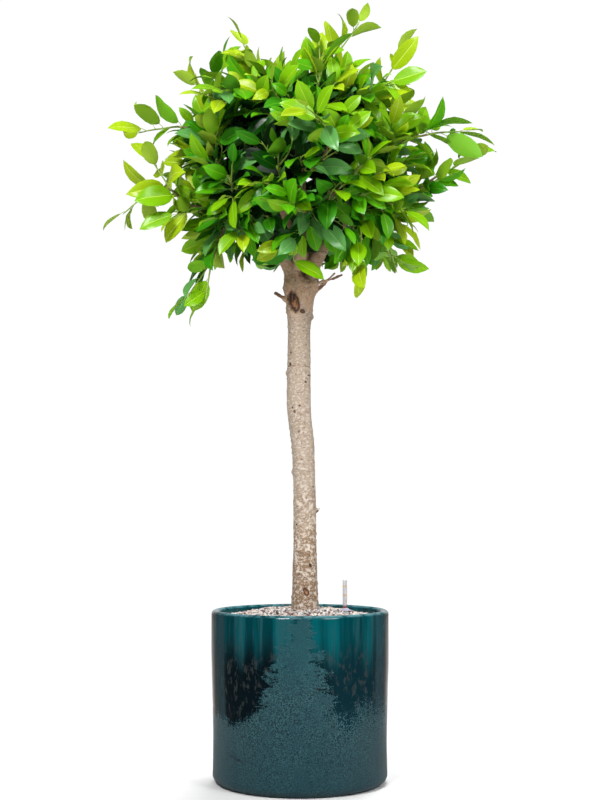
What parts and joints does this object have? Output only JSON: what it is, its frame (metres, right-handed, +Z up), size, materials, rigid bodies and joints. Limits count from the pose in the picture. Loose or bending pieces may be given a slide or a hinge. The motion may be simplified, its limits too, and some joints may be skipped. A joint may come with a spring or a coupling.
{
  "type": "standard fig tree in pot",
  "caption": "Small fig tree trained as a standard: a clear stem under a round leafy head, in a glazed cylinder pot topped with gravel and a water gauge.",
  "frame": {"origin": "The centre of the pot's flat underside, on the floor.", "axes": "+Z up, along the stem. -Y is the front. +X is the right seen from the front, and the water gauge stands on that side of the stem."},
  "size_m": [0.7164, 0.6366, 1.3456],
  "materials": {
    "glaze": "gloss",
    "soil": "matte",
    "stones": "matte",
    "pale_plastic": "satin",
    "clear_plastic": "gloss",
    "float_plastic": "gloss",
    "bark": "matte",
    "bough_bark": "matte",
    "foliage": "satin"
  },
  "bodies": {
    "root": {"pot": "glaze", "soil": "soil", "gravel": "stones", "gauge_collar": "pale_plastic", "gauge_tube": "clear_plastic", "gauge_float": "float_plastic", "stem": "bark", "bough_right": "bough_bark", "bough_back_right": "bough_bark", "bough_back": "bough_bark", "bough_back_left": "bough_bark", "bough_left": "bough_bark", "bough_front": "bough_bark", "bough_upper_right": "bough_bark", "bough_upper_left": "bough_bark", "bough_upper_front": "bough_bark", "bough_top": "bough_bark", "mass_right": "foliage", "mass_back_right": "foliage", "mass_back": "foliage", "mass_back_left": "foliage", "mass_left": "foliage", "mass_front": "foliage", "mass_upper_right": "foliage", "mass_upper_left": "foliage", "mass_upper_front": "foliage", "mass_top": "foliage"}
  },
  "joints": []
}
